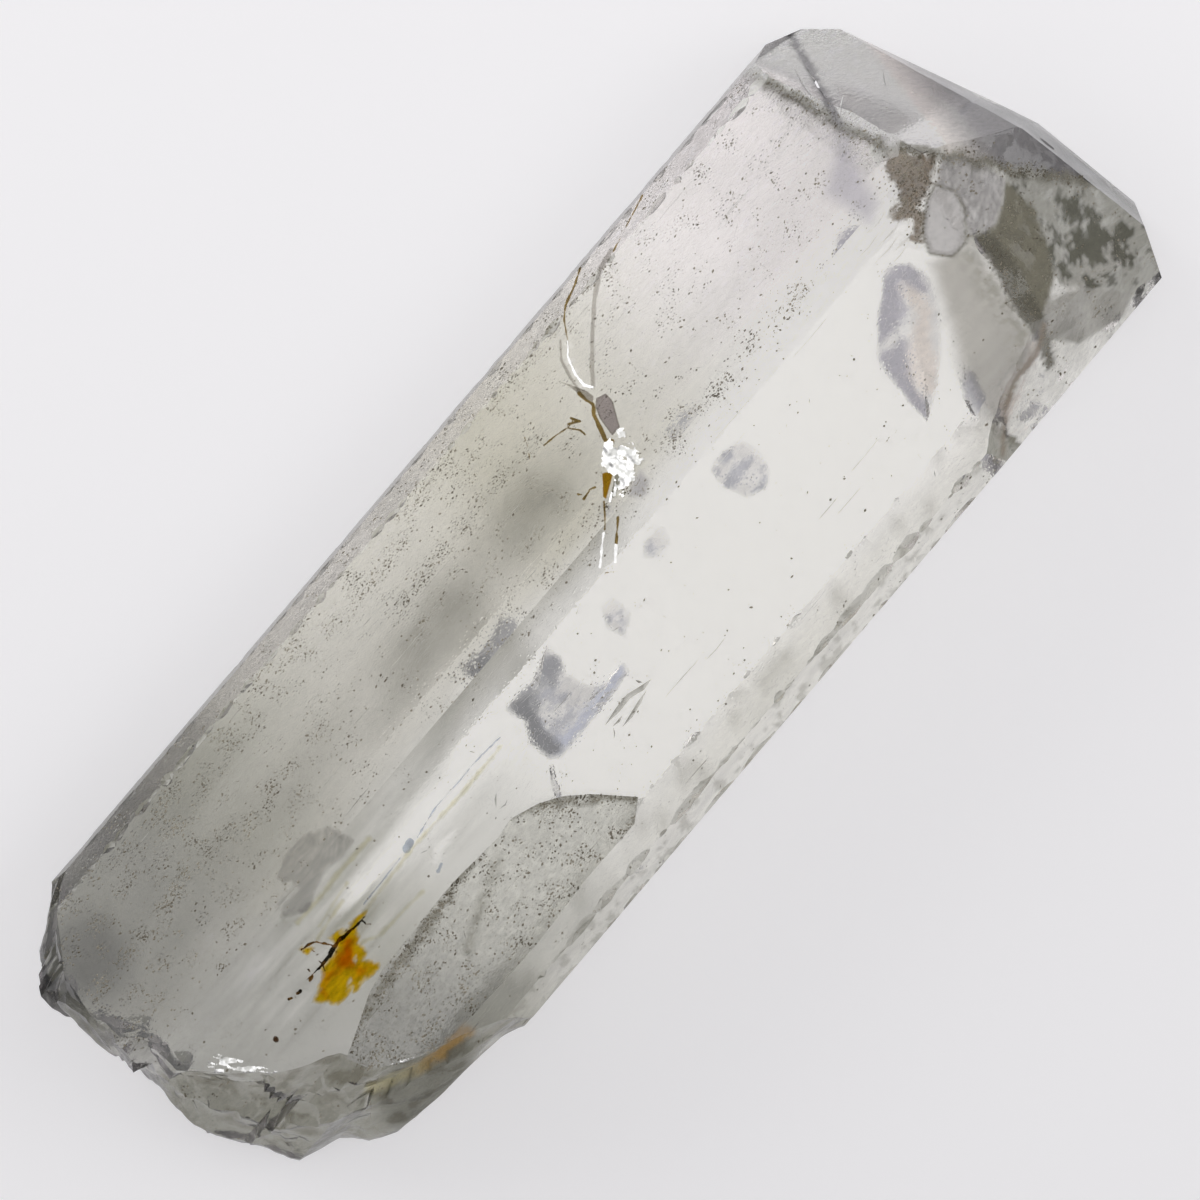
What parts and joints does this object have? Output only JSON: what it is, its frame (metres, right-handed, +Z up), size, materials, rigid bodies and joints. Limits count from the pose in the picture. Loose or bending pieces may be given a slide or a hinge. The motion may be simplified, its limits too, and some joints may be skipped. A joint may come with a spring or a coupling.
{
  "type": "rough kunzite crystal",
  "caption": "Long, nearly colourless gem crystal with a flat prism shape, a sloping natural termination, chipped corners, a stepped broken end and an iron stain.",
  "frame": {"origin": "centre of the bounding box, on the surface the crystal lies on", "axes": "+X along the crystal's long axis towards its natural termination, +Z up out of the resting face, +Y towards the thin left side"},
  "size_m": [0.0499, 0.0172, 0.0092],
  "materials": {
    "kunzite": "clear natural growth faces, part frosted by etching, with satin fracture surfaces"
  },
  "bodies": {
    "root": {"kunzite_crystal": "kunzite"}
  },
  "joints": []
}
